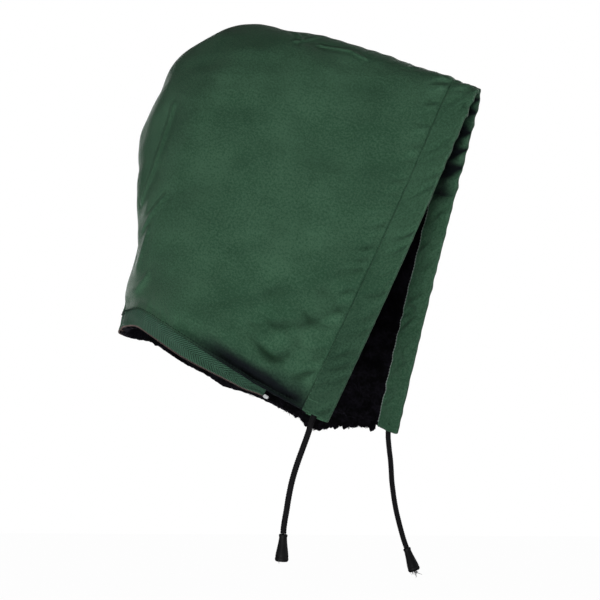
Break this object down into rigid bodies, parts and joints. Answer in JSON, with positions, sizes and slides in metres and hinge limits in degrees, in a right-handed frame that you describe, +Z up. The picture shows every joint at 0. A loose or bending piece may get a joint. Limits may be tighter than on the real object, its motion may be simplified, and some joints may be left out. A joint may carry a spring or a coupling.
{
  "type": "detachable hood",
  "caption": "Green fabric hood with black pile lining, a drawcord in the front casing and a half zip around the neck edge.",
  "frame": {"origin": "at the crown of the wearer's head, just under the lining", "axes": "+X the way the wearer faces, +Y to the wearer's left, +Z up as the hood is worn"},
  "size_m": [0.3528, 0.2379, 0.5171],
  "materials": {
    "shell": "close-woven, slightly satin bottle green cloth",
    "pile": "black sherpa pile",
    "tape": "ribbed woven zip tape",
    "coil": "fine moulded zip coil",
    "stop": "small moulded end piece",
    "cord": "round black braid",
    "cord_end": "moulded black plastic"
  },
  "bodies": {
    "root": {"panel_right": "shell", "panel_left": "shell", "casing_right": "shell", "casing_left": "shell", "lining_right": "pile", "lining_left": "pile", "zip_tape": "tape", "zip_teeth": "coil", "zip_stop": "stop", "drawcord_right": "cord", "drawcord_left": "cord", "cord_end_right": "cord_end", "cord_end_left": "cord_end"}
  },
  "joints": []
}
